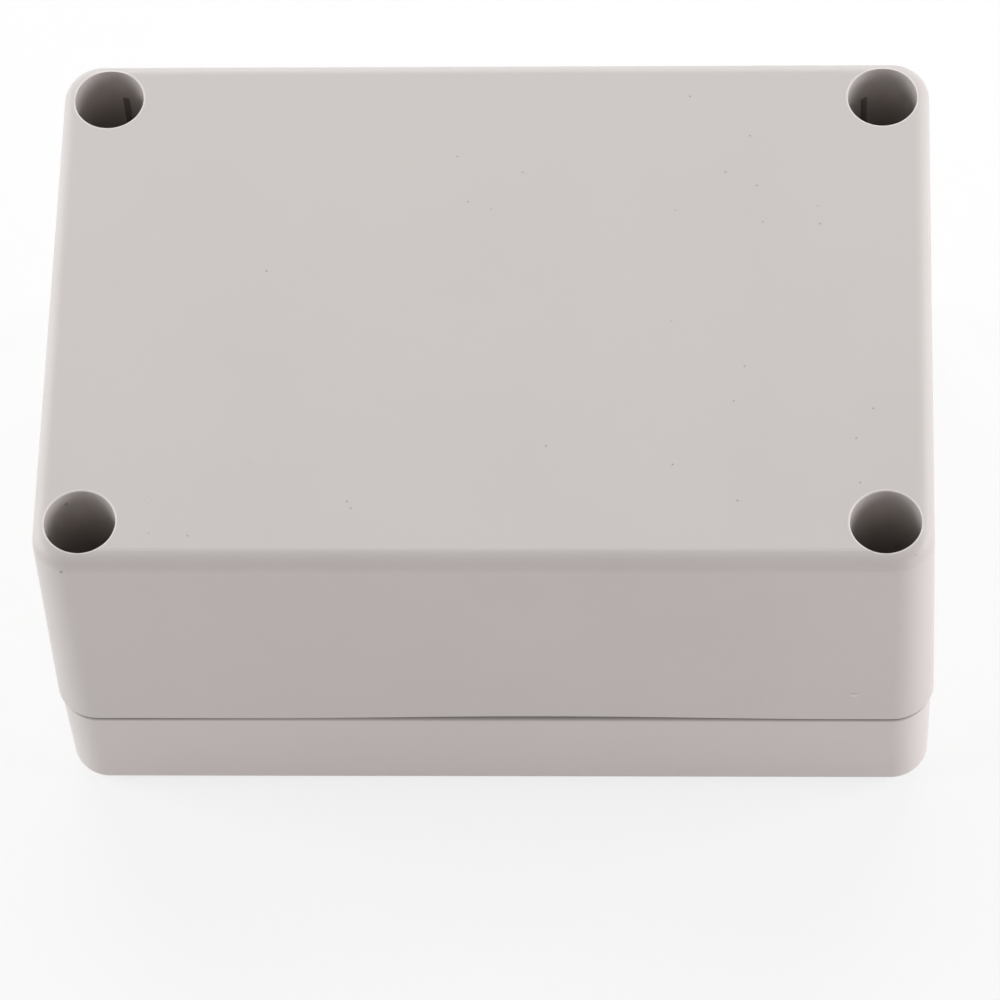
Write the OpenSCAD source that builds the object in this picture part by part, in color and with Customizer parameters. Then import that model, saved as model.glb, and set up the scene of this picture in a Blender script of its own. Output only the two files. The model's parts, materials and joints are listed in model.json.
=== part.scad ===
// Plastic project box: a deep base and a shallow lid, closed by four screws
// that go down deep wells in the corners of the base. The box lies on its lid.
// Millimetres, +Z up, origin at the middle of the lid's outer face.

/* [Overall] */
// Length over the joint between the two halves
length = 100; // [70:1:200]
// Width over the joint between the two halves
width = 68; // [50:1:150]
// Height of the closed box
height = 50; // [38:1:100]
// Height of the lid half
lid_h = 16; // [12:0.5:22]

/* [Shell] */
// Side wall of the base at the joint
wall = 3; // [2.6:0.1:3.6]
// Thickness of the base's large face
base_face = 2.5; // [1.5:0.1:4]
// Thickness of the lid's large face
lid_face = 2.5; // [1.5:0.1:4]
// Outside radius of the upright corners, at the joint
corner_r = 4.8; // [4:0.1:6]
// Rounding between each large face and the side walls
edge_r = 2; // [1:0.1:3]
// Draft of the outside walls, in degrees
draft = 0.8; // [0:0.1:1.5]
// How far the lid's outline is set in from the base's
lid_step = 0.3; // [0.1:0.05:0.5]
// Rounding of the base's outer edge at the joint
base_rim_r = 0.3; // [0.1:0.05:0.6]
// Rounding of the lid's outer edge at the joint
lid_rim_r = 0.8; // [0.2:0.05:0.9]

/* [Screw wells] */
// Diameter of the four wells
well_d = 7.9; // [7.6:0.1:8.6]
// Distance of each well's axis from both outside walls, at the joint
well_inset = 5.8; // [5.4:0.05:6.2]
// Wall round each well, on the side of the inside space
well_wall = 1.35; // [1:0.05:2]
// Chamfer of the wells' mouths
mouth_chamfer = 0.2; // [0.1:0.05:0.4]
// Thickness of the web that closes each well and carries the screw's head
web_t = 3; // [2:0.1:5]
// Width of the relief groove down the side of each well
relief_w = 0.9; // [0.5:0.05:1.4]
// Thickness left between the relief groove's upper end and the outer face
relief_wall = 0.25; // [0.2:0.05:0.6]
// Distance of the groove's upper end below the base's large face
relief_start = 5.1; // [3:0.1:12]
// Height of the groove's lower end above the well's floor
relief_foot = 0.5; // [0.2:0.1:3]
// Turn of the groove in the left wells, from the Y direction towards the middle
relief_turn_left = 18.5; // [10:0.5:40]
// The same turn in the right wells
relief_turn_right = 32; // [10:0.5:40]

/* [Seal] */
// Width of the rubber strip
strip_w = 1.7; // [1.2:0.1:2]
// Height of the rubber strip
strip_h = 1.8; // [1.2:0.1:2]
// Clearance between the strip and each side of its groove
strip_clear = 0.05; // [0.02:0.01:0.1]
// Depth of the groove in the lid
groove_deep = 3.6; // [3:0.1:5]
// Thickness of the rib between the groove and the inside of the lid
lid_rib = 1; // [0.8:0.1:1.2]
// Width of the base's tongue, which reaches into the groove
tongue_w = 1; // [0.8:0.1:1.2]
// Gap left between the tongue and the strip
seal_gap = 0.3; // [0.1:0.05:0.5]
// Bend of the seal's line where it leaves a straight wall
bend_r = 2.5; // [2.4:0.1:3]

/* [Screws] */
// Outside diameter of the thread
screw_d = 3.9; // [3:0.1:4.2]
// Length under the head
screw_len = 14; // [10:0.5:15]
// Length of the pointed tip
tip_len = 2; // [1:0.1:3]
// Diameter of the pan head
head_d = 7; // [6:0.1:7.2]
// Height of the pan head
head_h = 2.6; // [1.8:0.1:3.2]
// Length of each arm of the cross recess, from the axis
recess_arm = 1.9; // [1.2:0.1:2.4]
// Width of the recess's arms
recess_w = 0.9; // [0.5:0.05:1.2]
// Depth of the recess
recess_deep = 1.5; // [0.8:0.1:1.6]
// Radial clearance of the thread in the lid's bores
thread_clear = 0.1; // [0.05:0.01:0.2]
// Radial clearance of the screw in the base's webs
web_clear = 0.25; // [0.1:0.05:0.5]
// Room below the screw's tip in the lid's bores
tip_room = 1; // [0.5:0.1:2]

/* [Circuit board bosses] */
// Distance between the bosses along the length
board_x = 72; // [40:1:74]
// Distance between the bosses along the width
board_y = 40; // [20:1:42]
// Outside diameter of each boss
boss_d = 6; // [5:0.1:8]
// Height of each boss
boss_h = 6; // [3:0.5:12]
// Diameter of the pilot hole in each boss
boss_hole_d = 2.5; // [2:0.1:3.2]

/* [Hidden] */
$fn = 96;
// Overshoot of cuts past the faces that they open
past = 0.5;
abs_grey = [0.78, 0.76, 0.74];
rubber_grey = [0.30, 0.30, 0.31];
zinc = [0.74, 0.75, 0.77];

base_h = height - lid_h;
inside_z = height - base_face;
well_x = length / 2 - well_inset;
well_y = width / 2 - well_inset;
well_r = well_d / 2;
column_r = well_r + well_wall;
seat_z = lid_h + web_t;
relief_z = seat_z + relief_foot;
relief_top = height - relief_start;
relief_reach = well_inset - (relief_top - lid_h) * tan(draft) - relief_wall;
groove_w = strip_w + 2 * strip_clear;
groove_z = lid_h - groove_deep;
tongue_h = groove_deep - strip_h - seal_gap;
boss_z = inside_z - boss_h;

// Overlap of curves that would only touch, so that they cross cleanly
graze = 0.01;

// The seal's line: straight along each wall, round bend_r away from it, then
// round the well's axis at turn_r. All its offset curves share these centres.
turn_r = column_r - tongue_w / 2;
seal_x = length / 2 - wall + tongue_w / 2;
seal_y = width / 2 - wall + tongue_w / 2;
well = [well_x, well_y];
reach = turn_r + bend_r - graze;
long_bend = [well_x - sqrt(pow(reach, 2) - pow(seal_y - bend_r - well_y, 2)), seal_y - bend_r];
short_bend = [seal_x - bend_r, well_y - sqrt(pow(reach, 2) - pow(seal_x - bend_r - well_x, 2))];

// A sector of a circle between two angles less than 180 degrees apart
module pie(r, from, to) {
  mid = (from + to) / 2;
  intersection() {
    circle(r);
    polygon([[0, 0], for (a = [from, mid, to]) 2 * r * [cos(a), sin(a)]]);
  }
}

// Children in the corner of the first quadrant, repeated in all four corners
module corners() {
  for (sx = [0, 1], sy = [0, 1]) mirror([sx, 0, 0]) mirror([0, sy, 0]) children();
}

// ---- Outside form ----

// Section through a drafted wall, from the joint at y = 0 up to the large face.
// x is the distance out from the centre line of the upright corners. The wall's
// line runs graze inside the roundings, so that it crosses their arcs.
module wall_section(r, h, rim_r) {
  out = [cos(draft), sin(draft)];
  rim = [r - (rim_r + rim_r * out.y) / out.x, rim_r];
  edge = [r - (edge_r + (h - edge_r) * out.y) / out.x, h - edge_r];
  polygon([[0, 0], [rim.x, 0], rim, rim + (rim_r - graze) * out,
           edge + (edge_r - graze) * out, edge, [edge.x, h], [0, h]]);
  translate(rim) pie(rim_r, -90, 45);
  translate(edge) pie(edge_r, -45, 90);
}

// One half of the box, solid, with its joint face down at z = 0
module half_block(l, w, r, h, rim_r) {
  corner = [l / 2 - r, w / 2 - r];
  corners() translate(corner) rotate_extrude(angle = 90) wall_section(r, h, rim_r);
  for (side = [0, 1]) mirror([side, 0, 0]) translate([corner.x, corner.y, 0])
    rotate([90, 0, 0]) linear_extrude(2 * corner.y) wall_section(r, h, rim_r);
  for (side = [0, 1]) mirror([0, side, 0]) translate([-corner.x, corner.y, 0])
    rotate([90, 0, 90]) linear_extrude(2 * corner.x) wall_section(r, h, rim_r);
  translate([-corner.x, -corner.y, 0]) cube([2 * corner.x, 2 * corner.y, h]);
}

// ---- Seal's line ----

// One quarter of the polygon that the seal's arcs are fitted to, at offset e
function quarter(e) = [[seal_x + e, short_bend.y], short_bend, well, long_bend, [long_bend.x, seal_y + e]];
function flipped(points, sx, sy) = [for (p = points) [sx * p.x, sy * p.y]];
function backwards(points) = [for (i = [len(points) - 1:-1:0]) points[i]];

// The area inside the seal's line, moved out by e
module seal_area(e) {
  q = quarter(e);
  difference() {
    union() {
      polygon(concat(q, backwards(flipped(q, -1, 1)), flipped(q, -1, -1), backwards(flipped(q, 1, -1))));
      corners() for (centre = [long_bend, short_bend]) translate(centre) circle(bend_r + e);
    }
    corners() translate(well) circle(turn_r - e);
  }
}

// A flat band of width w along the seal's line
module seal_band(w) {
  difference() {
    seal_area(w / 2);
    seal_area(-w / 2);
  }
}

// ---- Base ----

module well_cut(relief_turn) {
  translate([well_x, well_y, 0]) {
    translate([0, 0, seat_z]) cylinder(r = well_r, h = height - seat_z + past);
    translate([0, 0, height - mouth_chamfer - past])
      cylinder(r1 = well_r - past, r2 = well_r + mouth_chamfer + past, h = mouth_chamfer + 2 * past);
    translate([0, 0, lid_h - past]) cylinder(r = screw_d / 2 + web_clear, h = web_t + 2 * past);
    rotate(relief_turn) translate([-relief_w / 2, well_r - past, relief_z])
      cube([relief_w, relief_reach - well_r + past, relief_top - relief_z]);
  }
}

module well_cuts() {
  for (sy = [0, 1]) mirror([0, sy, 0]) {
    mirror([1, 0, 0]) well_cut(relief_turn_left);
    well_cut(relief_turn_right);
  }
}

module board_bosses() {
  corners() translate([board_x / 2, board_y / 2, boss_z]) difference() {
    cylinder(d = boss_d, h = boss_h + base_face / 2);
    translate([0, 0, -past]) cylinder(d = boss_hole_d, h = boss_h + past);
  }
}

module base_shell() {
  tongue_z = lid_h - tongue_h;
  color(abs_grey) {
    difference() {
      union() {
        translate([0, 0, lid_h]) half_block(length, width, corner_r, base_h, base_rim_r);
        translate([0, 0, tongue_z]) linear_extrude(tongue_h + web_t / 2) seal_area(tongue_w / 2);
      }
      translate([0, 0, tongue_z - past]) linear_extrude(inside_z - tongue_z + past) seal_area(-tongue_w / 2);
      well_cuts();
    }
    board_bosses();
  }
}

// ---- Lid ----

module lid() {
  color(abs_grey) difference() {
    translate([0, 0, lid_h]) mirror([0, 0, 1])
      half_block(length - 2 * lid_step, width - 2 * lid_step, corner_r - lid_step, lid_h, lid_rim_r);
    translate([0, 0, lid_face]) linear_extrude(lid_h - lid_face + past) seal_area(-groove_w / 2 - lid_rib);
    translate([0, 0, groove_z]) linear_extrude(groove_deep + past) seal_band(groove_w);
    corners() translate([well_x, well_y, seat_z - screw_len - tip_room])
      cylinder(r = screw_d / 2 + thread_clear, h = screw_len + tip_room);
  }
}

// ---- Gasket: a closed rubber strip lying in the lid's groove ----

module gasket() {
  color(rubber_grey) translate([0, 0, groove_z]) linear_extrude(strip_h) seal_band(strip_w);
}

// ---- Screws ----

// A pan-head screw standing on its head's seat, with its axis on Z
module screw() {
  // Radius of the ball that domes the head to half its height
  dome = head_h / 2;
  ball_r = (pow(head_d / 2, 2) + pow(dome, 2)) / (2 * dome);
  color(zinc) {
    difference() {
      intersection() {
        cylinder(d = head_d, h = head_h);
        translate([0, 0, head_h - ball_r]) sphere(r = ball_r);
      }
      for (a = [0, 90]) rotate(a) translate([-recess_arm, -recess_w / 2, head_h - recess_deep])
        cube([2 * recess_arm, recess_w, recess_deep + past]);
    }
    translate([0, 0, tip_len - screw_len]) cylinder(d = screw_d, h = screw_len - tip_len + head_h / 4);
    translate([0, 0, -screw_len]) cylinder(d1 = screw_d / 4, d2 = screw_d, h = tip_len);
  }
}

module placed_screw(sx, sy) {
  translate([sx * well_x, sy * well_y, seat_z]) screw();
}

base_shell();
lid();
gasket();
placed_screw(-1, 1);  // screw_rear_left
placed_screw(1, 1);  // screw_rear_right
placed_screw(-1, -1);  // screw_front_left
placed_screw(1, -1);  // screw_front_right
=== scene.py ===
import json
from contextlib import contextmanager
from math import atan2, copysign, cos, hypot, pi, radians, sin, sqrt, tan

import bmesh
import bpy
from mathutils import Matrix, Vector


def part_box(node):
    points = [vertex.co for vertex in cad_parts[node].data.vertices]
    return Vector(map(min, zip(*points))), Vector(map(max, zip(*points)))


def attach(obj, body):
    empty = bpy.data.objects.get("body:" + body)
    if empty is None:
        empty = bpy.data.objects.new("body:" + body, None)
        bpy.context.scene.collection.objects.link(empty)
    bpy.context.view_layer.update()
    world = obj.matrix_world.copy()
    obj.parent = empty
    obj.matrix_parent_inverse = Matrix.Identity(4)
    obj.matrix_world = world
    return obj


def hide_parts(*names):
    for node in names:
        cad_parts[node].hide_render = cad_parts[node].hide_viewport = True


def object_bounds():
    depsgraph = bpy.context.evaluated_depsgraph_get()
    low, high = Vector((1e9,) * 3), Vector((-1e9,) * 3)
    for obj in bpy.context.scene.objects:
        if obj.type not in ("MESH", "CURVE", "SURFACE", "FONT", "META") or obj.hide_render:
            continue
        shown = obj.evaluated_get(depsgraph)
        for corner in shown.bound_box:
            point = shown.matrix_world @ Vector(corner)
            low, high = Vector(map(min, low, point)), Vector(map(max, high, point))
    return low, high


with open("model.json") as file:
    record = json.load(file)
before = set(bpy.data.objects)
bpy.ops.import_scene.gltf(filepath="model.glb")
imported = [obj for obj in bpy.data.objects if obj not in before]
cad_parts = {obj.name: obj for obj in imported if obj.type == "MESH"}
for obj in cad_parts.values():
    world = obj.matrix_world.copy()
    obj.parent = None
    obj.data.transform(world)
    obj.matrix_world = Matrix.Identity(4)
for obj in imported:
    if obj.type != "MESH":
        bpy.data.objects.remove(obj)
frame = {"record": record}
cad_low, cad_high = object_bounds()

MM = 0.001

# How far a cutter runs past what it cuts, and how close a point lies to the place where it is looked for.
PAST = 0.5 * MM
NEAR = 0.01 * MM

# How close points lie that count as level or close an outline, and that are merged in a solid.
SNAP = 1e-6
SAME = 1e-7


# ---- Measures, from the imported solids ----

base_low, base_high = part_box("base_shell")
lid_low, lid_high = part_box("lid")
strip_low, strip_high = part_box("gasket")
screw_low, screw_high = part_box("screw_rear_right")

# Both halves: their outer form, and the thickness of their large faces.
joint_z = lid_high.z
face_t = 2.5 * MM
corner_r = 4.8 * MM
edge_r = 2 * MM
draft = radians(0.8)

# The well at the rear right, which the others mirror, and the web on which its screw's head sits.
well = Vector(((screw_low.x + screw_high.x) / 2, (screw_low.y + screw_high.y) / 2, 0))
well_r = 3.95 * MM
well_inset = 5.8 * MM
web_t = 3 * MM
seat_z = joint_z + web_t

# The seal's line bends off each wall with one radius and turns round each well with another.
strip_w = 1.7 * MM
tongue_w = 1 * MM
groove_w = 1.8 * MM
seal = Vector((strip_high.x - strip_w / 2, strip_high.y - strip_w / 2, 0))
bend_r = 2.5 * MM
turn_r = 4.8 * MM


# ---- Work in edit mode ----

def deselect():
    """Leaves nothing selected, because an operator acts on all that is."""
    bpy.ops.object.select_all(action="DESELECT")


def activate(piece):
    """Makes a piece the only one that is selected."""
    deselect()
    piece.select_set(True)
    bpy.context.view_layer.objects.active = piece


def sharp_edges(mesh):
    """The numbers of the edges where two faces meet at a true corner."""
    corner_angle = radians(25)
    shape = bmesh.new()
    shape.from_mesh(mesh)
    sharp = {edge.index for edge in shape.edges if edge.calc_face_angle(0) > corner_angle}
    shape.free()
    return sharp


@contextmanager
def editing(piece, kind, test, among=None):
    """Edit mode on a piece, with the vertices, edges or faces selected whose corners all pass a test."""
    activate(piece)
    bpy.ops.object.mode_set(mode="EDIT")
    bpy.ops.mesh.select_mode(type=kind)
    bpy.ops.mesh.select_all(action="DESELECT")
    bpy.ops.object.mode_set(mode="OBJECT")
    mesh = piece.data
    passed = [test(vertex.co) for vertex in mesh.vertices]
    if kind == "VERT":
        for vertex in mesh.vertices:
            vertex.select = passed[vertex.index]
    else:
        for part in mesh.edges if kind == "EDGE" else mesh.polygons:
            allowed = among is None or part.index in among
            part.select = allowed and all(passed[corner] for corner in part.vertices)
    bpy.ops.object.mode_set(mode="EDIT")
    yield
    bpy.ops.object.mode_set(mode="OBJECT")


def everywhere(point):
    """A test that every point passes."""
    return True


def level(height):
    """A test for points at one height."""
    return lambda point: abs(point.z - height) < SNAP


def modify(piece, kind, **settings):
    """Adds a modifier and applies it."""
    activate(piece)
    modifier = piece.modifiers.new(kind.lower(), kind)
    for name, value in settings.items():
        setattr(modifier, name, value)
    bpy.ops.object.modifier_apply(modifier=modifier.name)


def clean(piece):
    """Merges what lies double and turns every face outwards."""
    with editing(piece, "VERT", everywhere):
        bpy.ops.mesh.remove_doubles(threshold=SAME)
        bpy.ops.mesh.normals_make_consistent(inside=False)


def combine(piece, tool, operation):
    """Joins a closed tool shape to a piece or cuts it away, and clears the tool off the bench."""
    clean(tool)
    modify(piece, "BOOLEAN", operation=operation, solver="EXACT", object=tool)
    bpy.data.objects.remove(tool, do_unlink=True)


def in_corners(piece):
    """Repeats a shape that stands in the first corner in all four."""
    modify(piece, "MIRROR", use_axis=(True, True, False), use_mirror_merge=True, merge_threshold=SAME)
    return piece


def round_over(piece, test, radius, segments):
    """Rounds the true corners whose ends pass a test."""
    with editing(piece, "EDGE", test, sharp_edges(piece.data)):
        bpy.ops.mesh.bevel(offset=radius, segments=segments, profile=0.5, clamp_overlap=False)


# ---- Outlines and turned shapes ----

def first_point(name, place):
    """A mesh of one point, open for editing, from which an outline is drawn."""
    deselect()
    bpy.ops.mesh.primitive_plane_add(size=MM, location=place)
    piece = bpy.context.object
    piece.name = name
    bpy.ops.object.transform_apply(location=True)
    bpy.ops.object.mode_set(mode="EDIT")
    bpy.ops.mesh.select_mode(type="VERT")
    bpy.ops.mesh.select_all(action="SELECT")
    bpy.ops.mesh.merge(type="CENTER")
    return piece


def run_to(start, end):
    """Draws a straight line to an end."""
    bpy.ops.mesh.extrude_region_move(TRANSFORM_OT_translate={"value": end - start})
    return end


def arc_about(start, centre, angle, steps):
    """Goes on round a centre, anticlockwise where the angle is positive."""
    bpy.ops.mesh.spin(steps=steps, angle=-angle, center=centre, axis=(0, 0, 1))
    return centre + Matrix.Rotation(angle, 3, "Z") @ (start - centre)


def fill_outline(piece):
    """Mirrors a quarter outline into a closed one and fills it."""
    bpy.ops.object.mode_set(mode="OBJECT")
    modify(piece, "MIRROR", use_axis=(True, True, False), use_mirror_merge=True, merge_threshold=SNAP)
    with editing(piece, "EDGE", everywhere):
        bpy.ops.mesh.edge_face_add()
    return piece


def plain_outline(name, half_x, half_y, radius, height):
    """A filled rectangle with rounded corners."""
    corner_steps = 14
    centre = Vector((half_x - radius, half_y - radius, height))
    start = Vector((half_x, 0, height))
    piece = first_point(name, start)
    here = run_to(start, Vector((half_x, centre.y, height)))
    here = arc_about(here, centre, pi / 2, corner_steps)
    run_to(here, Vector((0, half_y, height)))
    return fill_outline(piece)


def seal_outline(name, out, height):
    """The area inside the seal's line, moved out. It runs straight along each wall and round each well."""
    bend_steps, turn_steps = 8, 18
    lift = Vector((0, 0, height))
    post = well + lift
    reach = turn_r + bend_r
    short = Vector((seal.x - bend_r, 0, height))
    short.y = well.y - sqrt(reach ** 2 - (short.x - well.x) ** 2)
    long = Vector((0, seal.y - bend_r, height))
    long.x = well.x - sqrt(reach ** 2 - (long.y - well.y) ** 2)
    first = atan2(post.y - short.y, post.x - short.x)
    to_short = atan2(short.y - post.y, short.x - post.x)
    to_long = atan2(long.y - post.y, long.x - post.x)
    turn = to_long - to_short - 2 * pi
    last = pi / 2 - atan2(post.y - long.y, post.x - long.x)
    start = Vector((seal.x + out, 0, height))
    piece = first_point(name, start)
    here = run_to(start, Vector((start.x, short.y, height)))
    here = arc_about(here, short, first, bend_steps)
    here = arc_about(here, post, turn, turn_steps)
    here = arc_about(here, long, last, bend_steps)
    run_to(here, Vector((0, seal.y + out, height)))
    return fill_outline(piece)


def raise_to(piece, height):
    """Extrudes a filled outline into a solid."""
    start = piece.data.vertices[0].co.z
    with editing(piece, "FACE", everywhere):
        bpy.ops.mesh.extrude_region_move(TRANSFORM_OT_translate={"value": (0, 0, height - start)})
    clean(piece)
    return piece


def seal_band(name, width, low, high):
    """A solid band of even width along the seal's line."""
    band = seal_outline(name, width / 2, low)
    with editing(band, "FACE", everywhere):
        bpy.ops.mesh.inset(thickness=width, use_even_offset=True)
        bpy.ops.mesh.delete(type="FACE")
    with editing(band, "FACE", everywhere):
        bpy.ops.mesh.extrude_region_move(TRANSFORM_OT_translate={"value": (0, 0, high - low)})
    clean(band)
    return band


def turned(name, axis, profile, steps=48):
    """A solid turned about an upright axis from a profile of radii and heights."""
    points = [axis + Vector((radius, 0, height)) for radius, height in profile]
    piece = first_point(name, points[0])
    for start, end in zip(points, points[1:]):
        run_to(start, end)
    bpy.ops.mesh.select_all(action="SELECT")
    bpy.ops.mesh.spin(steps=steps, angle=2 * pi, center=axis, axis=(0, 0, 1))
    bpy.ops.object.mode_set(mode="OBJECT")
    with editing(piece, "VERT", everywhere):
        bpy.ops.mesh.remove_doubles(threshold=SAME)
        bpy.ops.mesh.normals_make_consistent(inside=False)
    return piece


def block(name, low, high):
    """A box between two corners."""
    low, high = Vector(low), Vector(high)
    deselect()
    bpy.ops.mesh.primitive_cube_add(size=1, location=(low + high) / 2, scale=high - low)
    bpy.ops.object.transform_apply()
    bpy.context.object.name = name
    return bpy.context.object


def drafted_half(name, half_x, half_y, radius, rim_r, rim_z, height):
    """One half of the box, solid: it rises from its rim, or falls where the height is below it."""
    away = height - rim_z
    depth = abs(away) - rim_r
    collar_z = rim_z + copysign(rim_r, away)
    piece = plain_outline(name, half_x, half_y, radius, rim_z)
    raise_to(piece, collar_z)
    with editing(piece, "FACE", level(collar_z)):
        bpy.ops.mesh.inset(thickness=depth * tan(draft), depth=depth)
    round_over(piece, level(height), edge_r, segments=8)
    round_over(piece, level(rim_z), rim_r, segments=5)
    return piece


def near_well(radius, low, high):
    """A test for points on a round wall about a well's axis, between two heights."""
    reach = 0.02 * MM

    def test(point):
        across = hypot(abs(point.x) - well.x, abs(point.y) - well.y)
        return abs(across - radius) < reach and low < point.z < high

    return test


def finish_shape(piece, angle=30):
    """Smooth shading that keeps flat faces flat and true corners sharp."""
    activate(piece)
    bpy.ops.object.shade_smooth_by_angle(angle=radians(angle))
    modify(piece, "WEIGHTED_NORMAL", keep_sharp=True)
    return piece


# ---- The base half ----

# The hole through a well's web, and the heights of the tongue's foot, the top face and its underside.
web_r = 2.2 * MM
tongue_z = base_low.z
top_z = base_high.z
inside_z = top_z - face_t

# The relief groove down a well's outer side, which leaves a thin skin of the wall.
relief_w = 0.9 * MM
relief_skin = 0.25 * MM
relief_foot = seat_z + 0.5 * MM
relief_top = top_z - 5.1 * MM
relief_reach = well_inset - (relief_top - joint_z) * tan(draft) - relief_skin
turn_left, turn_right = radians(18.5), radians(32)

# The bosses that carry a circuit board.
board_mount = next(mount for mount in frame["record"]["mounts"] if mount["name"] == "board_screws")
board_dims = board_mount["dims"]
board = Vector((board_dims["spacing_x_mm"] / 2 * MM, board_dims["spacing_y_mm"] / 2 * MM, 0))
pilot_r = board_dims["hole_r_mm"] * MM
boss_r = 3 * MM
boss_h = 6 * MM
boss_z = inside_z - boss_h


def relief_groove(turn, side):
    """A cutter for the narrow groove down the outer side of both wells on the right or the left."""
    cutter = block(
        "groove_cut",
        (well.x - relief_w / 2, well.y + well_r - PAST, relief_foot),
        (well.x + relief_w / 2, well.y + relief_reach, relief_top),
    )
    with editing(cutter, "VERT", everywhere):
        bpy.ops.transform.rotate(value=-turn, orient_axis="Z", center_override=well)
    modify(cutter, "MIRROR", use_axis=(False, True, False))
    if side < 0:
        with editing(cutter, "VERT", everywhere):
            bpy.ops.transform.resize(value=(-1, 1, 1), center_override=(0, 0, 0))
    return cutter


def cut_wells(base):
    """Cuts the stepped wells, with a rounded mouth, and the relief grooves in their sides."""
    lip_r, lip_steps = 0.14 * MM, 4
    below = joint_z - PAST
    above = top_z + PAST
    profile = [(0, below), (web_r, below), (web_r, seat_z), (well_r, seat_z)]
    for step in range(lip_steps + 1):
        angle = step / lip_steps * pi / 2
        profile.append((well_r + lip_r * (1 - cos(angle)), top_z - lip_r * (1 - sin(angle))))
    profile += [(well_r + lip_r, above), (0, above)]
    combine(base, in_corners(turned("well_cut", well, profile, steps=72)), "DIFFERENCE")
    combine(base, relief_groove(turn_right, 1), "DIFFERENCE")
    combine(base, relief_groove(turn_left, -1), "DIFFERENCE")


def add_board_bosses(base):
    """Adds the circuit board's bosses, flared at the foot, with countersunk pilot holes."""
    flare, countersink = 0.6 * MM, 0.3 * MM
    foot_r = boss_r + flare
    foot_z = inside_z + MM
    boss = [
        (0, boss_z), (boss_r, boss_z), (boss_r, inside_z - flare),
        (foot_r, inside_z), (foot_r, foot_z), (0, foot_z),
    ]
    combine(base, in_corners(turned("boss", board, boss, steps=40)), "UNION")
    mouth_r = pilot_r + countersink
    pilot = [
        (0, boss_z - PAST), (mouth_r, boss_z - PAST), (mouth_r, boss_z),
        (pilot_r, boss_z + countersink), (pilot_r, inside_z), (0, inside_z),
    ]
    combine(base, in_corners(turned("pilot", board, pilot, steps=32)), "DIFFERENCE")


def on_front(point):
    """A test for points on the base's front wall."""
    return point.y < -base_high.y + 0.6 * MM


def on_front_rim(x):
    """A test for points at one place along the front wall's lower edge."""
    return lambda point: on_front(point) and abs(point.x - x) < NEAR and point.z < joint_z + 0.3 * MM


def bow_rim(base):
    """Lets the front wall's lower edge rise a little past the middle, as the moulding has warped."""
    crown_x, half_span, rise = 6 * MM, 34 * MM, 0.58 * MM
    step, steps_each_way = 3 * MM, 11
    places = [crown_x + step * count for count in range(-steps_each_way, steps_each_way + 1)]
    for x in places:
        with editing(base, "FACE", on_front):
            bpy.ops.mesh.bisect(plane_co=(x, 0, 0), plane_no=(1, 0, 0))
    for x in places:
        lift = rise * cos((x - crown_x) / half_span * pi / 2) ** 2
        with editing(base, "VERT", on_front_rim(x)):
            bpy.ops.transform.translate(value=(0, 0, lift))


def make_base():
    """The deep half: a drafted shell with a tongue, wells and bosses."""
    rim_r = 0.15 * MM
    base = drafted_half("box_base", base_high.x, base_high.y, corner_r, rim_r, joint_z, top_z)
    hollow = raise_to(seal_outline("hollow", -tongue_w / 2, joint_z - PAST), inside_z)
    round_over(hollow, level(inside_z), 0.8 * MM, segments=4)
    combine(base, hollow, "DIFFERENCE")
    tongue_root = joint_z + 1.5 * MM
    tongue = seal_band("tongue", tongue_w, tongue_z, tongue_root)
    round_over(tongue, level(tongue_z), 0.25 * MM, segments=3)
    combine(base, tongue, "UNION")
    cut_wells(base)
    add_board_bosses(base)
    screw_mouths = near_well(web_r, joint_z - MM, joint_z + 0.1 * MM)
    round_over(base, screw_mouths, 0.2 * MM, segments=2)
    with editing(base, "FACE", level(joint_z)):
        bpy.ops.mesh.quads_convert_to_tris(ngon_method="BEAUTY")
    bow_rim(base)
    clean(base)
    return finish_shape(base)


# ---- The lid half ----

def add_landing_pads(lid):
    """Adds a low round pad at each screw, on which the base lands."""
    pad_r, pad_edge = 3.6 * MM, 0.1 * MM
    pad_foot = joint_z - 5 * MM
    pad = [
        (0, pad_foot), (pad_r, pad_foot), (pad_r, joint_z - pad_edge),
        (pad_r - pad_edge, joint_z), (0, joint_z),
    ]
    combine(lid, in_corners(turned("pad", well, pad)), "UNION")


def bore_for_screws(lid):
    """Cuts the screws' blind bores, countersunk at the pads."""
    bore_r, countersink = 2.05 * MM, 0.4 * MM
    bore_foot = screw_low.z - MM
    mouth_r = bore_r + countersink
    above = joint_z + PAST
    bore = [
        (0, bore_foot), (bore_r, bore_foot), (bore_r, joint_z - countersink),
        (mouth_r, joint_z), (mouth_r, above), (0, above),
    ]
    combine(lid, in_corners(turned("bore", well, bore)), "DIFFERENCE")


def make_lid():
    """The shallow half. Its outer rim stops short of the base and leaves a shadow gap."""
    step_in, shadow_gap, rim_r = 0.3 * MM, 0.6 * MM, 0.6 * MM
    half_x, half_y = base_high.x - step_in, base_high.y - step_in
    rim_z = joint_z - shadow_gap
    lid = drafted_half("box_lid", half_x, half_y, corner_r - step_in, rim_r, rim_z, lid_low.z)
    add_landing_pads(lid)
    rib_w, floor_z = 1 * MM, lid_low.z + face_t
    hollow = raise_to(seal_outline("hollow", -groove_w / 2 - rib_w, joint_z + PAST), floor_z)
    round_over(hollow, level(floor_z), 0.5 * MM, segments=4)
    combine(lid, hollow, "DIFFERENCE")
    combine(lid, seal_band("channel", groove_w, strip_low.z, joint_z + PAST), "DIFFERENCE")
    bore_for_screws(lid)
    clean(lid)
    return finish_shape(lid)


# ---- Sealing strip and screws ----

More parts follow.
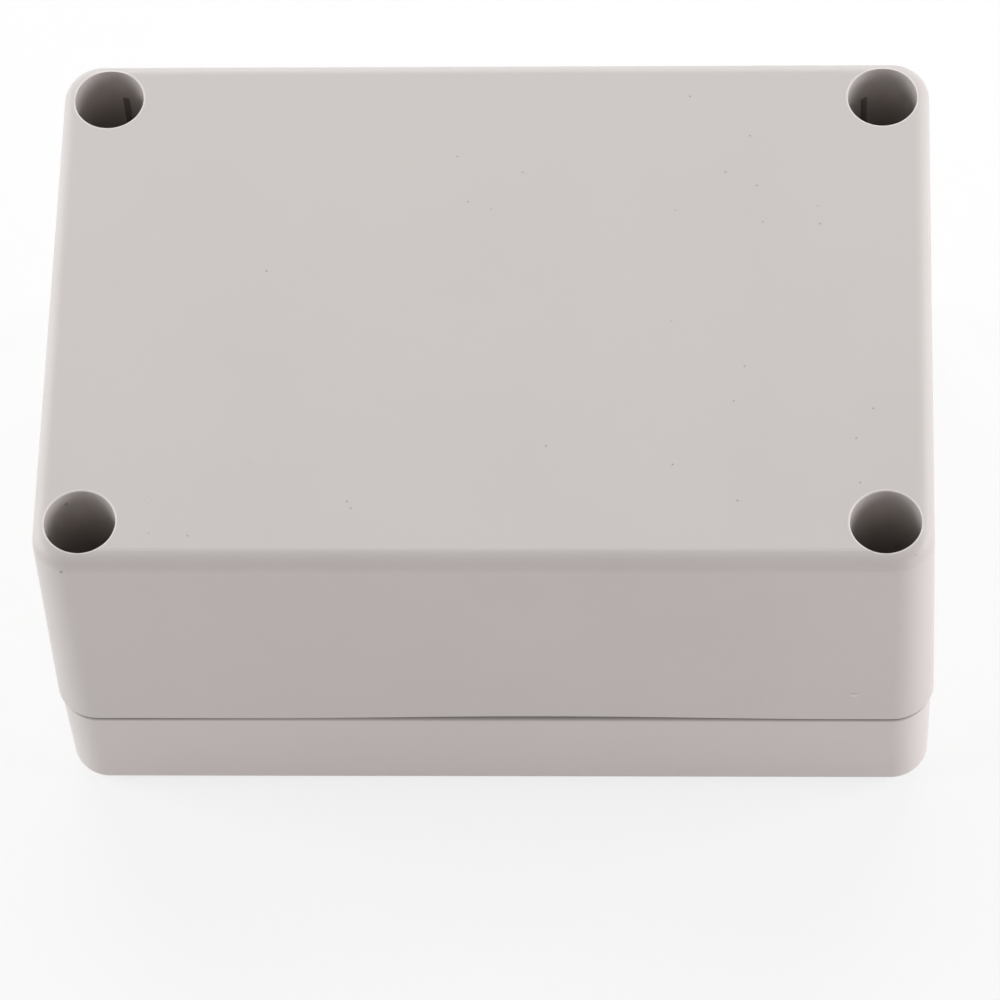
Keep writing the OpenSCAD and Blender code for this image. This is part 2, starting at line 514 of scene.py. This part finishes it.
def make_strip():
    """The rubber strip in the lid's groove, with a domed upper side."""
    strip = seal_band("sealing_strip", strip_w, strip_low.z, strip_high.z)
    round_over(strip, level(strip_low.z), 0.25 * MM, segments=3)
    round_over(strip, level(strip_high.z), 0.55 * MM, segments=5)
    clean(strip)
    return finish_shape(strip)


# The screw that stands in the rear right well: pan head, neck, core and thread.
head_r = 3.5 * MM
head_round = 1.3 * MM
neck_r = 1.65 * MM
core_r = 1.4 * MM
crest_r = 1.93 * MM
pitch = 1.3 * MM
tip_z = screw_low.z
taper_z = tip_z + 2.2 * MM


def pan_head():
    """The head, rounded over towards its slightly crowned top."""
    foot_edge = 0.15 * MM
    foot_r = head_r - foot_edge
    round_z = screw_high.z - head_round
    round_steps, flatness = 6, 0.92
    head = [(0, seat_z), (foot_r, seat_z), (head_r, seat_z + foot_edge), (head_r, round_z)]
    for step in range(1, round_steps + 1):
        angle = step / round_steps * pi / 2
        across = head_r - head_round + head_round * cos(angle)
        head.append((across, round_z + flatness * head_round * sin(angle)))
    head.append((0, screw_high.z))
    return turned("screw", well, head)


def cut_recess(screw):
    """Cuts the cross recess: two blocks over each other, drawn in towards their foot."""
    arm, half_w = 1.9 * MM, 0.45 * MM
    foot_z = screw_high.z - 1.5 * MM
    foot_share = (0.42, 0.62, 1)
    for turn in (0, pi / 2):
        cutter = block(
            "recess",
            (well.x - arm, well.y - half_w, foot_z),
            (well.x + arm, well.y + half_w, screw_high.z + PAST),
        )
        with editing(cutter, "VERT", level(foot_z)):
            bpy.ops.transform.resize(value=foot_share)
        with editing(cutter, "VERT", everywhere):
            bpy.ops.transform.rotate(value=turn, orient_axis="Z", center_override=well)
        combine(screw, cutter, "DIFFERENCE")


def make_thread():
    """A ridge with a narrow crest, wound up the core and trimmed to fade out at both ends."""
    ridge_x, root_w, crest_share = 1.6 * MM, 0.8 * pitch, 0.14
    turns, steps = 9, 24
    start = well + Vector((ridge_x, 0, tip_z - 0.2 * MM))
    deselect()
    bpy.ops.mesh.primitive_plane_add(size=1, location=start, rotation=(pi / 2, 0, 0))
    ridge = bpy.context.object
    ridge.scale = (2 * (crest_r - ridge_x), root_w, 1)
    bpy.ops.object.transform_apply()
    with editing(ridge, "VERT", lambda point: point.x > well.x + ridge_x):
        bpy.ops.transform.resize(value=(1, 1, crest_share))
    with editing(ridge, "VERT", everywhere):
        bpy.ops.transform.translate(value=-well)
    winding = {"axis": "Z", "angle": 2 * pi, "screw_offset": pitch, "iterations": turns}
    modify(ridge, "SCREW", steps=steps, render_steps=steps, **winding)
    with editing(ridge, "VERT", everywhere):
        bpy.ops.transform.translate(value=well)
        bpy.ops.mesh.fill_holes(sides=4)
    clean(ridge)
    top, foot = seat_z - 1.4 * MM, tip_z + 0.1 * MM
    envelope = [
        (0, top), (core_r, top), (crest_r, top - MM),
        (crest_r, taper_z + 0.2 * MM), (0.3 * MM, foot), (0, foot),
    ]
    combine(ridge, turned("envelope", well, envelope, steps=36), "INTERSECT")
    return ridge


def make_screw():
    """A pan-head screw with a cross recess and a cut thread."""
    screw = pan_head()
    cut_recess(screw)
    into_head = seat_z + 0.5 * MM
    neck_foot = seat_z - 1.2 * MM
    core_top = seat_z - 1.6 * MM
    tip_r = 0.12 * MM
    shank = [
        (0, into_head), (neck_r, into_head), (neck_r, neck_foot),
        (core_r, core_top), (core_r, taper_z), (tip_r, tip_z), (0, tip_z),
    ]
    combine(screw, turned("shank", well, shank, steps=36), "UNION")
    combine(screw, make_thread(), "UNION")
    clean(screw)
    return finish_shape(screw, angle=40)


def copy_to(piece, name, shift):
    """A copy of a piece with its own mesh, moved by its vertices."""
    activate(piece)
    bpy.ops.object.duplicate()
    copy = bpy.context.object
    copy.name = name
    copy.location = shift
    bpy.ops.object.transform_apply(location=True)
    return copy


base = make_base()
lid = make_lid()
strip = make_strip()


# ---- Shader expressions ----

# Socket numbers: those of the Mix node's colours, and those of the outputs that are picked by number.
MIX_FACTOR, MIX_FIRST, MIX_SECOND, MIX_COLOUR = 0, 6, 7, 2
OBJECT_PLACE = 3
CAMERA_RAY, GLOSSY_RAY, CLEAR_RAY = 0, 3, 6
BACK_OF_FACE = 6


class Shade:
    """One output of a material's nodes. A sum written with it adds the Math nodes that it needs."""

    def __init__(self, tree, output=None):
        self.tree = tree
        self.output = output

    def node(self, kind, settings, inputs, output=0):
        """A new node: its settings are set first, then its sockets get their values or links."""
        made = self.tree.nodes.new("ShaderNode" + kind)
        for name, value in settings.items():
            setattr(made, name, value)
        for name, value in inputs.items():
            if isinstance(value, Shade):
                self.tree.links.new(value.output, made.inputs[name])
            else:
                made.inputs[name].default_value = value
        return Shade(self.tree, made.outputs[output]) if made.outputs else None

    def math(self, operation, *values):
        return self.node("Math", {"operation": operation}, dict(enumerate(values)))

    def size(self):
        return self.math("ABSOLUTE", self)

    def at_least(self, low):
        return self.math("MAXIMUM", self, low)

    def root(self):
        return self.math("SQRT", self)

    def __add__(self, other):
        return self.math("ADD", self, other)

    __radd__ = __add__

    def __sub__(self, other):
        return self.math("SUBTRACT", self, other)

    def __rsub__(self, other):
        return self.math("SUBTRACT", other, self)

    def __mul__(self, other):
        return self.math("MULTIPLY", self, other)

    __rmul__ = __mul__

    def __lt__(self, other):
        return self.math("LESS_THAN", self, other)

    def axes(self):
        """The three coordinates of a place."""
        return [self.node("SeparateXYZ", {}, {0: self}, output=axis) for axis in range(3)]

    def smooth(self, low, high):
        """0 below low, 1 above high, and an even slope between."""
        inputs = {"Value": self, "From Min": low, "From Max": high}
        return self.node("MapRange", {"interpolation_type": "SMOOTHSTEP"}, inputs)

    def blend(self, first, second):
        """The first colour where this mask is 0 and the second where it is 1."""
        inputs = {MIX_FACTOR: self, MIX_FIRST: first, MIX_SECOND: second}
        return self.node("Mix", {"data_type": "RGBA"}, inputs, output=MIX_COLOUR)


def noise(place, scale, detail=2.0, roughness=0.5):
    """Even noise about 0.5, with scale in features for each metre."""
    inputs = {"Vector": place, "Scale": scale, "Detail": detail, "Roughness": roughness}
    return place.node("TexNoise", {}, inputs)


def stain(colour, mask, tint, strength):
    """A colour with a tint laid over it where a mask is 1."""
    return (mask * strength).blend(colour, tint)


def fine_relief(height, strength, depth):
    """The surface's normal under fine relief, of a depth in metres."""
    return height.node("Bump", {}, {"Strength": strength, "Distance": depth, "Height": height})


def new_material(name):
    """A material with an empty tree, and the place of each point in the object's own frame."""
    material = bpy.data.materials.new(name)
    material.use_nodes = True
    material.node_tree.nodes.clear()
    start = Shade(material.node_tree)
    place = start.node("TexCoord", {}, {}, output=OBJECT_PLACE)
    return material, place


def finish_material(material, place, settings, colour, roughness, normal):
    """Joins a finish's colour, roughness and relief to its surface shader."""
    varying = {"Base Color": colour, "Roughness": roughness, "Normal": normal}
    surface = place.node("BsdfPrincipled", {}, {**settings, **varying})
    place.node("OutputMaterial", {}, {"Surface": surface})
    return material


# ---- Finishes ----

def side_distance(place):
    """How far a point lies outside the outline that the box has at its joint, below zero inside it."""
    x, y, _ = place.axes()
    over_x = (x.size() - (base_high.x - corner_r)).at_least(0)
    over_y = (y.size() - (base_high.y - corner_r)).at_least(0)
    return (over_x * over_x + over_y * over_y).root() - corner_r


def seam_painted_shade(place, colour):
    """A line of painted shadow in the joint, on the rounded rim of the lid, darkest towards the ends."""
    # Painted shade: the lid's rim is darkened just below the joint, where the base's overhang shades it.
    seam_shade_colour = (0.09, 0.085, 0.08, 1)
    x, _, height = place.axes()
    rising = height.smooth(joint_z - 1.2 * MM, joint_z - 0.62 * MM)
    ending = 1 - height.smooth(joint_z - 0.66 * MM, joint_z - 0.61 * MM)
    line = rising * ending * side_distance(place).smooth(-0.9 * MM, -0.75 * MM)
    strength = 0.66 + 0.32 * x.size().smooth(15 * MM, 43 * MM)
    return stain(colour, line, seam_shade_colour, strength)


def oval(place, centre_x, centre_z, half_x, half_z):
    """A mask for a small oval mark with a soft edge on the front wall."""
    x, y, height = place.axes()
    across = (x - centre_x) * (1 / half_x)
    up = (height - centre_z) * (1 / half_z)
    return (y < 0) * (1 - (across * across + up * up).smooth(0.4, 1.3))


def base_marks(place, colour):
    """Painted shade down the wells, a painted highlight round their mouths, a nick painted as shadow and
    highlight, and a fleck on the front.
    """
    well_shade_brown, mouth_highlight_colour = (0.32, 0.255, 0.23, 1), (0.88, 0.85, 0.83, 1)
    nick_shadow, nick_highlight = (0.4, 0.37, 0.36, 1), (0.78, 0.75, 0.73, 1)
    fleck_brown = (0.25, 0.22, 0.22, 1)
    x, y, height = place.axes()
    off_x = x.size() - well.x
    off_y = y.size() - well.y
    across = (off_x * off_x + off_y * off_y).root()
    # Painted shade: the inside of each well turns brown and darker towards its foot, where little light
    # reaches.
    depth = 1 - height.smooth(top_z - 11 * MM, top_z - 0.3 * MM)
    dust_and_shade = (across < well_r + 0.05 * MM) * depth
    # Painted highlight: a pale ring round each well's mouth, where its rounded edge catches the light.
    edge = (across < well_r + 0.19 * MM) * height.smooth(top_z - 0.2 * MM, top_z - 0.1 * MM)
    colour = stain(colour, dust_and_shade, well_shade_brown, strength=0.5)
    colour = stain(colour, edge, mouth_highlight_colour, strength=0.55)
    # The nick is painted, not cut: a dark line of painted shadow over a pale painted highlight on its
    # lower lip.
    nick_x, nick_z = 40.9 * MM, 21.9 * MM
    nick = oval(place, nick_x, nick_z, 0.5 * MM, 0.2 * MM)
    colour = stain(colour, nick, nick_shadow, strength=0.55)
    nick_highlight_mask = oval(place, nick_x, nick_z - 0.5 * MM, 0.45 * MM, 0.25 * MM)
    colour = stain(colour, nick_highlight_mask, nick_highlight, strength=0.45)
    fleck_x, fleck_z = -46.1 * MM, 48 * MM
    fleck = oval(place, fleck_x, fleck_z, 0.2 * MM, 0.3 * MM)
    return stain(colour, fleck, fleck_brown, strength=0.7)


def moulded_abs(name, marks, shade=1.0):
    """Light warm grey ABS: a fine satin grain, faint clouding, a few specks and pale scuffs."""
    deep_grey, pale_grey = (0.590, 0.551, 0.534), (0.608, 0.568, 0.550)
    scuff_grey, speck_grey = (0.66, 0.63, 0.61, 1), (0.2, 0.19, 0.19, 1)
    material, place = new_material(name)
    clouds = noise(place, scale=45, detail=3).smooth(0.3, 0.7)
    grain = noise(place, scale=4200, detail=2)
    waves = noise(place, scale=260, detail=1)
    cell = place.node("TexVoronoi", {}, {"Vector": place, "Scale": 230.0})
    height = place.axes()[2]
    speck = cell < 0.01 + 0.018 * height.smooth(top_z - 1 * MM, top_z)
    scuff = noise(place, scale=30, detail=4, roughness=0.65).smooth(0.66, 0.78)
    deep, pale = [tuple(shade * part for part in grey) + (1,) for grey in (deep_grey, pale_grey)]
    colour = clouds.blend(deep, pale)
    colour = stain(colour, scuff, scuff_grey, strength=0.35)
    colour = stain(colour, speck, speck_grey, strength=0.6)
    colour = marks(place, colour)
    roughness = 0.44 + 0.08 * clouds + 0.05 * scuff
    normal = fine_relief(0.6 * grain + 2.5 * waves, strength=0.25, depth=0.01 * MM)
    settings = {"IOR": 1.5, "Specular IOR Level": 0.5}
    return finish_material(material, place, settings, colour, roughness, normal)


def soft_rubber():
    """Dark grey sealing rubber with a dull, slightly dusty skin."""
    clean_rubber, dusty_rubber = (0.035, 0.035, 0.038, 1), (0.12, 0.12, 0.12, 1)
    material, place = new_material("sealing_rubber")
    dust_and_shade = noise(place, scale=700, detail=3).smooth(0.45, 0.8)
    colour = stain(clean_rubber, dust_and_shade, dusty_rubber, strength=0.5)
    normal = fine_relief(noise(place, scale=5000), strength=0.3, depth=0.02 * MM)
    roughness = 0.65 + 0.15 * dust_and_shade
    return finish_material(material, place, {}, colour, roughness, normal)


def zinc_plate():
    """Bright zinc-plated steel with fine scratches and cloudy passivation."""
    blue_zinc, warm_zinc = (0.62, 0.63, 0.65, 1), (0.72, 0.72, 0.71, 1)
    material, place = new_material("zinc_plate")
    cloud = noise(place, scale=900, detail=3).smooth(0.35, 0.7)
    colour = cloud.blend(blue_zinc, warm_zinc)
    scratches = noise(place, scale=6000, detail=3)
    normal = fine_relief(scratches, strength=0.2, depth=0.01 * MM)
    roughness = 0.24 + 0.16 * cloud
    return finish_material(material, place, {"Metallic": 1.0}, colour, roughness, normal)


abs_base = moulded_abs("moulded_base_abs", base_marks)
# The lid's ABS is made 7.5 % lighter than the base's. This is painted light, standing in for the light
# that the white table throws up onto the lid.
abs_lid = moulded_abs("moulded_lid_abs", seam_painted_shade, shade=1.075)
rubber = soft_rubber()
zinc = zinc_plate()


def place_piece(piece, material, body, node):
    """Gives a piece its finish, attaches it to the body it moves with, and hides the solid it stands for.
    """
    piece.data.materials.clear()
    piece.data.materials.append(material)
    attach(piece, body)
    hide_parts(node)


place_piece(base, abs_base, "base", "base_shell")
place_piece(lid, abs_lid, "lid", "lid")
place_piece(strip, rubber, "lid", "gasket")

screw = make_screw()
for side_x, across in ((-1, "left"), (1, "right")):
    for side_y, along in ((-1, "front"), (1, "rear")):
        shift = ((side_x - 1) * well.x, (side_y - 1) * well.y, 0)
        copy = copy_to(screw, f"{along}_{across}_screw", shift)
        place_piece(copy, zinc, f"{along} {across} screw", f"screw_{along}_{across}")
bpy.data.objects.remove(screw, do_unlink=True)


# ---- Stage: floor, surroundings, lamps and camera ----

def where_seen(start):
    """1 for what the camera, a reflection or a clear material shows, and 0 for what lights the box."""
    rays = (CAMERA_RAY, GLOSSY_RAY, CLEAR_RAY)
    camera_ray, glossy_ray, clear_ray = [start.node("LightPath", {}, {}, output=ray) for ray in rays]
    return (camera_ray + glossy_ray + clear_ray).smooth(0, 1)


def white_floor():
    """A white table that keeps the box's shadow, clear from below. It is seen lighter than it is."""
    glow_share = 0.75
    material, place = new_material("white_floor")
    seen = where_seen(place)
    matt = place.node("BsdfDiffuse", {}, {"Color": (0.95, 0.95, 0.95, 1)})
    glow = place.node("Emission", {}, {"Color": (1, 1, 1, 1), "Strength": 1.0})
    table = place.node("MixShader", {}, {0: glow_share * seen, 1: matt, 2: glow})
    clear = place.node("BsdfTransparent", {}, {})
    underside = place.node("NewGeometry", {}, {}, output=BACK_OF_FACE)
    surface = place.node("MixShader", {}, {0: underside, 1: table, 2: clear})
    place.node("OutputMaterial", {}, {"Surface": surface})
    return material


def lay_floor(size):
    """A square floor under the lid."""
    bpy.ops.mesh.primitive_plane_add(size=size, location=(0, 0, cad_low.z))
    floor = bpy.context.object
    floor.name = "floor"
    floor.data.materials.append(white_floor())


def light_world(strength):
    """Even surroundings that light the box at one strength and show as white."""
    world = bpy.data.worlds.new("surroundings")
    bpy.context.scene.world = world
    world.use_nodes = True
    world.node_tree.nodes.clear()
    start = Shade(world.node_tree)
    shown = strength + (1 - strength) * where_seen(start)
    glow = start.node("Background", {}, {"Color": (1, 1, 1, 1), "Strength": shown})
    start.node("OutputWorld", {}, {"Surface": glow})


def soft_lamp(name, place, size, watts, colour=(1, 1, 1)):
    """A large soft panel lamp that faces the box."""
    lamp = bpy.data.lights.new(name, "AREA")
    lamp.shape = "RECTANGLE"
    lamp.size, lamp.size_y = size
    lamp.energy = watts
    lamp.color = colour
    panel = bpy.data.objects.new(name, lamp)
    bpy.context.collection.objects.link(panel)
    panel.location = place
    middle = (cad_low + cad_high) / 2
    panel.rotation_euler = (middle - Vector(place)).to_track_quat("-Z", "Y").to_euler()


def place_camera(target, azimuth, elevation, roll, distance, lens):
    """A camera that looks at a target from an azimuth, counted from the front, and an elevation."""
    around, up = radians(azimuth), radians(elevation)
    away = Vector((sin(around) * cos(up), -cos(around) * cos(up), sin(up)))
    camera = bpy.data.objects.new("camera", bpy.data.cameras.new("camera"))
    bpy.context.collection.objects.link(camera)
    aim = (-away).to_track_quat("-Z", "Y").to_matrix().to_4x4()
    turn = Matrix.Rotation(radians(roll), 4, "Z")
    camera.matrix_world = Matrix.Translation(Vector(target) + away * distance) @ aim @ turn
    camera.data.sensor_width = 36
    camera.data.lens = lens
    camera.data.clip_end = 20
    bpy.context.scene.camera = camera


lay_floor(size=6.0)
light_world(strength=0.27)
soft_lamp("rear_panel", place=(0, 0.85, 0.32), size=(1.2, 0.4), watts=3.6)
soft_lamp("high_panel", place=(0, 0.55, 0.75), size=(0.9, 0.6), watts=2.05)
soft_lamp("left_panel", place=(-0.8, 0.05, 0.3), size=(0.6, 0.5), watts=4.9)
soft_lamp("right_panel", place=(0.8, 0.05, 0.3), size=(0.6, 0.5), watts=4.4)
soft_lamp("front_fill", place=(0.55, -0.75, 0.18), size=(0.6, 0.3), watts=1.7, colour=(1, 0.88, 0.91))
place_camera(
    target=(0, -4.9 * MM, 16 * MM),
    azimuth=5.48, elevation=58.76, roll=-4.7, distance=710.4 * MM, lens=220.17,
)

bpy.context.scene.view_settings.view_transform = "Standard"
